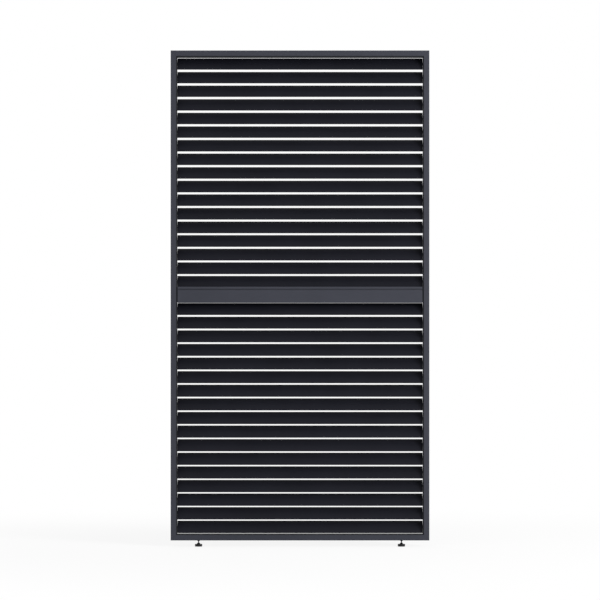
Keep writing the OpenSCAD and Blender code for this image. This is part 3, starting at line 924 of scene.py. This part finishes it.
@dataclass
class CornerScrews:
    """The sixteen countersunk socket screws that hold the corner cleats."""

    node: str = "corner_screws"
    head_r: float = 0.004
    shank_r: float = 0.002
    length: float = 0.007
    tip: float = 0.0005
    socket_r: float = 0.00144
    socket_depth: float = 0.0012
    from_corner: float = 0.042
    off_middle: float = 0.015
    steps: int = 30

    def screw(self) -> Shape:
        """Builds one screw, its head flush at 0 and its shank pointing down."""
        shape = Shape()
        cone = self.head_r - self.shank_r
        rim = bmesh.ops.create_circle(shape.bm, segments=self.steps, radius=self.head_r)["verts"]
        down = shape.bm.edges[:]
        for radius, depth in ((self.shank_r, cone), (self.shank_r, self.length - self.tip),
                              (self.shank_r - self.tip, self.length)):
            drawn = bmesh.ops.extrude_edge_only(shape.bm, edges=down)["geom"]
            down = only(Edge, drawn)
            for vert in only(Vert, drawn):
                vert.co = Vector((vert.co.x, vert.co.y, 0)).normalized() * radius
                vert.co.z = -depth
        bmesh.ops.contextual_create(shape.bm, geom=down)
        hexagon = bmesh.ops.create_circle(shape.bm, segments=6, radius=self.socket_r)["verts"]
        mouth = [e for e in shape.bm.edges if set(e.verts) <= set(hexagon)]
        top = [e for e in shape.bm.edges if set(e.verts) <= set(rim)]
        bmesh.ops.bridge_loops(shape.bm, edges=mouth + top)
        drawn = bmesh.ops.extrude_edge_only(shape.bm, edges=mouth)["geom"]
        floor = only(Vert, drawn)
        bmesh.ops.translate(shape.bm, verts=floor, vec=-Z_AXIS * self.socket_depth)
        loop = [e for e in only(Edge, drawn) if set(e.verts) <= set(floor)]
        bmesh.ops.contextual_create(shape.bm, geom=loop)
        shape.face_out()
        return shape

    def build(self) -> None:
        """Puts a screw at both sides of every corner, in the stile and in the rail."""
        low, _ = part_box("left_stile")
        _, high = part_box("right_stile")
        one, all_screws = self.screw(), Shape()
        for side in Side:
            for edge, up in ((low.z, -1), (high.z, 1)):
                for off in (-self.off_middle, self.off_middle):
                    x = side.value * high.x
                    stile = Vector((x, off, edge - up * self.from_corner))
                    rail = Vector((x - side.value * self.from_corner, off, edge))
                    all_screws.take(one, turned(stile, X_AXIS * side.value))
                    all_screws.take(one, turned(rail, Z_AXIS * up))
        made = all_screws.piece(self.node + "_heads", Slot.ZINC, "frame")
        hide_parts(self.node)


# --- Feet ---


@dataclass
class LevellingFeet:
    """The two levelling feet: threaded inserts, threaded ball studs and round pads."""

    stud_r: float = 0.003
    stud_top: float = 0.046
    stud_steps: int = 32
    thread_depth: float = 0.00054
    thread_pitch: float = 0.001
    thread_from: float = 0.0145
    thread_steps: int = 24
    root_flat: float = 0.125
    crest_flat: float = 0.05
    ball_r: float = 0.004
    ball_z: float = 0.009
    ball_steps: int = 12
    neck_r: float = 0.0024
    insert_r: float = 0.0045
    insert_bore: float = 0.00305
    insert_h: float = 0.013
    insert_rim: float = 0.0003
    insert_steps: int = 40
    collar_r: float = 0.009
    collar_end_r: float = 0.004
    collar_h: float = 0.0053
    pad_r: float = 0.017
    pad_edge: float = 0.0113
    pad_cone_r: float = 0.009
    pad_top: float = 0.0173
    pad_neck_r: float = 0.0045
    pad_bore: float = 0.0031
    pad_steps: int = 72
    socket_r: float = 0.0041
    socket_steps: int = 10
    groove_z: float = 0.0032
    groove_h: float = 0.0007
    groove_depth: float = 0.0004
    shoulder_round: float = 0.0012
    sole_round: float = 0.0006
    cone_round: float = 0.0008
    neck_round: float = 0.0004

    def thread(self) -> Shape:
        """Spins the thread's zigzag flank upwards by one pitch a turn and cuts both ends square."""
        shape = Shape()
        core = self.stud_r - self.thread_depth
        low = self.thread_from - 2 * self.thread_pitch
        turns = math.ceil((self.stud_top - low) / self.thread_pitch) + 1
        flank = ((core, 0.0), (core, self.root_flat), (self.stud_r, 0.5 - self.crest_flat),
                 (self.stud_r, 0.5 + self.crest_flat), (core, 1 - self.root_flat))
        points = [(r, 0, low + (n + t) * self.thread_pitch) for n in range(turns)
                  for r, t in flank]
        shape.line(points + [(core, 0, low + turns * self.thread_pitch)])
        bmesh.ops.spin(shape.bm, geom=shape.bm.verts[:] + shape.bm.edges[:], cent=ORIGIN,
                       axis=Z_AXIS, dvec=Z_AXIS * (self.thread_pitch / self.thread_steps),
                       angle=FULL_TURN, steps=self.thread_steps, use_merge=False)
        shape.weld()
        for height, outward in ((self.thread_from, -1), (self.stud_top, 1)):
            geometry = shape.bm.verts[:] + shape.bm.edges[:] + shape.bm.faces[:]
            cut = bmesh.ops.bisect_plane(shape.bm, geom=geometry, dist=1e-7,
                                         plane_co=Z_AXIS * height, plane_no=Z_AXIS * outward,
                                         clear_outer=True)["geom_cut"]
            bmesh.ops.contextual_create(shape.bm, geom=only(Edge, cut))
        shape.face_out()
        return shape

    def stud(self) -> Shape:
        """Builds the ball, its neck and the threaded stud."""
        shape = Shape()
        start = shape.vert((0, 0, self.ball_z - self.ball_r))
        sweep = math.pi - math.asin(self.neck_r / self.ball_r)
        top = shape.arc(start, Z_AXIS * self.ball_z, -Y_AXIS, sweep, self.ball_steps)
        root = self.thread_from + self.thread_pitch
        shape.line([(self.neck_r, 0, root), (0, 0, root)], top)
        shape.lathe(self.stud_steps)
        shape.take(self.thread())
        return shape

    def pad(self) -> Shape:
        """Spins the pad: a grooved edge with a rounded rim, a cone and the ball's socket."""
        shape = Shape()
        r, groove = self.pad_r, self.pad_r - self.groove_depth
        high = self.groove_z + self.groove_h
        verts = shape.line([(0, 0, 0), (r, 0, 0), (r, 0, self.groove_z),
                            (groove, 0, self.groove_z), (groove, 0, high), (r, 0, high),
                            (r, 0, self.pad_edge), (self.pad_cone_r, 0, self.pad_edge),
                            (self.pad_neck_r, 0, self.pad_top), (self.pad_bore, 0, self.pad_top)])
        rise = math.sqrt(self.socket_r ** 2 - self.pad_bore ** 2)
        mouth = shape.line([(self.pad_bore, 0, self.ball_z + rise)], verts[-1])[-1]
        sweep = math.pi - math.asin(self.pad_bore / self.socket_r)
        shape.arc(mouth, Z_AXIS * self.ball_z, Y_AXIS, sweep, self.socket_steps)
        shape.ease([verts[6]], self.shoulder_round, 3)
        shape.ease([verts[1]], self.sole_round)
        shape.ease([verts[7]], self.cone_round)
        shape.ease([verts[8]], self.neck_round)
        shape.lathe(self.pad_steps)
        return shape

    def insert(self) -> Shape:
        """Spins the threaded insert with the tapered collar that shows under the rail."""
        shape = Shape()
        ring = shape.line([(self.insert_bore, 0, -self.collar_h),
                           (self.collar_end_r, 0, -self.collar_h), (self.collar_r, 0, 0),
                           (self.insert_r, 0, 0), (self.insert_r, 0, self.insert_h),
                           (self.insert_bore, 0, self.insert_h)])
        shape.bm.edges.new((ring[-1], ring[0]))
        shape.ease([ring[1]], self.insert_rim)
        shape.ease([ring[4], ring[5]], self.insert_rim, 1)
        shape.lathe(self.insert_steps)
        return shape

    def build(self) -> None:
        """Builds both feet and the pair of inserts."""
        stud, pad, insert, inserts = self.stud(), self.pad(), self.insert(), Shape()
        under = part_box("bottom_rail")[0].z
        for side in Side:
            low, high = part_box(f"{side.word}_foot_pad")
            foot = Matrix.Translation(((low.x + high.x) / 2, 0, 0))
            for part, shape, slot in (("stud", stud, Slot.DARK_STEEL), ("pad", pad, Slot.PLASTIC)):
                node = f"{side.word}_foot_{part}"
                made = shape.piece(f"{node}_turned", slot, f"{side.word}_{part}", foot)
                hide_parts(node)
            inserts.take(insert, foot @ Matrix.Translation(Z_AXIS * under))
        made = inserts.piece("foot_inserts_turned", Slot.PLASTIC, "frame")
        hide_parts("foot_inserts")


# --- Kept members ---


@dataclass
class KeptMembers:
    """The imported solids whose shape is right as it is: they only get their finish."""

    finishes: dict[Slot, tuple[str, ...]] = field(default_factory=lambda: {
        Slot.FRAME: ("left_stile", "right_stile", "top_rail", "bottom_rail", "mid_rail",
                     "mid_rail_cap"),
        Slot.LINING: ("left_bearing_strip", "right_bearing_strip", "top_liner", "bottom_liner",
                      "mid_rail_end_plates"),
        Slot.MILL: ("corner_cleats", "upper_tie_bar", "lower_tie_bar"),
        Slot.ZINC: ("mid_rail_screws",),
        Slot.PLASTIC: ("left_pivot_bushes", "right_pivot_bushes"),
    })

    def dress(self) -> None:
        """Gives every kept node the material of its finish."""
        for slot, names in self.finishes.items():
            for name in names:
                for holder in frame["nodes"][name].material_slots:
                    holder.material = FINISHES[slot].material()
                log.info("dressed %s in %s", name, slot.value)


# --- Studio ---


@dataclass(frozen=True)
class Lamp:
    """One soft rectangular lamp."""

    name: str
    place: Point
    aim: Point
    size: tuple[float, float]
    power: float

    def hang(self) -> None:
        """Makes the lamp and points it at its aim."""
        data = bpy.data.lights.new(self.name, "AREA")
        data.shape = "RECTANGLE"
        data.size, data.size_y = self.size
        data.energy = self.power
        lamp = put(self.name, data)
        lamp.location = self.place
        towards = Vector(self.aim) - Vector(self.place)
        lamp.rotation_euler = towards.to_track_quat("-Z", "Y").to_euler()


@dataclass
class Studio:
    """The white studio: floor, lamps, surrounding light and the camera."""

    floor_half: float = 45.0
    floor_colour: Colour = (0.86, 0.86, 0.86)
    grain_lift: float = 1.02
    shadow_share: float = 0.14
    shadow_near: float = 0.9
    shadow_far: float = 3.2
    around: float = 0.55
    camera_place: Point = (0.0, -15.62, 1.1454)
    camera_lens: float = 201.6
    lamps: tuple[Lamp, ...] = (
        Lamp("key_lamp", (4.4, -4.2, 2.3), (0.1, 0.0, 1.1), (2.2, 2.6), 220.0),
        Lamp("fill_lamp", (-3.6, -5.4, 2.2), (-0.1, 0.0, 1.1), (2.6, 2.6), 10.0),
        Lamp("back_lamp", (-1.5, 4.5, 3.6), (0.0, 0.0, 1.2), (3.0, 2.0), 100.0),
    )

    def seen(self, sheet: Sheet) -> Socket:
        """Gives 1 for what the camera sees, straight or in a reflection, and 0 otherwise."""
        path = sheet.add("LightPath").outputs
        direct = sheet.math("MAXIMUM", path["Is Camera Ray"], path["Is Glossy Ray"])
        return sheet.math("MAXIMUM", direct, path["Is Transmission Ray"])

    def surround(self) -> None:
        """Lights the scene evenly from all round, behind a backdrop that shows white."""
        world = bpy.data.worlds.new("studio")
        bpy.context.scene.world = world
        world.use_nodes = True
        sheet = Sheet(world.node_tree)
        soft = sheet.add("Background", {"Color": (1, 1, 1, 1), "Strength": self.around})
        white = sheet.add("Background", {"Color": (1, 1, 1, 1), "Strength": 1.0})
        both = sheet.add("MixShader", {0: self.seen(sheet), 1: soft.outputs[0],
                                       2: white.outputs[0]})
        sheet.add("OutputWorld", {"Surface": both.outputs[0]})

    def floor(self) -> None:
        """Lays the plain pale floor, which shows white and keeps a soft shadow."""
        shape = Shape()
        bmesh.ops.create_grid(shape.bm, x_segments=1, y_segments=1, size=self.floor_half)
        mesh = bpy.data.meshes.new("floor")
        shape.bm.to_mesh(mesh)
        made = put("floor", mesh)
        coat = bpy.data.materials.new("pale_floor")
        coat.use_nodes = True
        sheet = Sheet(coat.node_tree)
        place = sheet.add("TexCoord").outputs["Object"]
        grain = sheet.ramp(sheet.noise(place, 30.0, 4.0), 0.3, 0.7)
        tint = sheet.blend(grain, self.floor_colour,
                           tuple(self.grain_lift * c for c in self.floor_colour))
        matt = sheet.add("BsdfDiffuse", {"Color": tint, "Roughness": 0.6})
        white = sheet.add("Emission", {"Color": (1, 1, 1, 1), "Strength": 1.0})
        away = sheet.add("VectorMath", {0: place}, operation="LENGTH").outputs["Value"]
        kept = sheet.ramp(away, self.shadow_near, self.shadow_far, self.shadow_share, 0.0)
        share = sheet.math("MULTIPLY", self.seen(sheet), sheet.math("SUBTRACT", 1.0, kept))
        both = sheet.add("MixShader", {0: share, 1: matt.outputs[0], 2: white.outputs[0]})
        sheet.add("OutputMaterial", {"Surface": both.outputs[0]})
        mesh.materials.append(coat)

    def camera(self) -> None:
        """Sets the camera in front of the divider, looking level along +Y."""
        data = bpy.data.cameras.new("camera")
        data.lens = self.camera_lens
        made = put("camera", data)
        made.location = self.camera_place
        made.rotation_euler = (math.pi / 2, 0.0, 0.0)
        bpy.context.scene.camera = made

    def build(self) -> None:
        """Sets up the whole studio."""
        self.camera()
        self.surround()
        self.floor()
        for lamp in self.lamps:
            lamp.hang()
            log.info("hung %s", lamp.name)
        bpy.context.scene.view_settings.view_transform = "Standard"


def main() -> None:
    """Builds the studio and every piece, in order."""
    logging.basicConfig(level=logging.INFO, format="%(name)s: %(message)s")
    Studio().build()
    KeptMembers().dress()
    SlatBanks().build()
    CornerScrews().build()
    LevellingFeet().build()


if __name__ == "__main__":
    main()
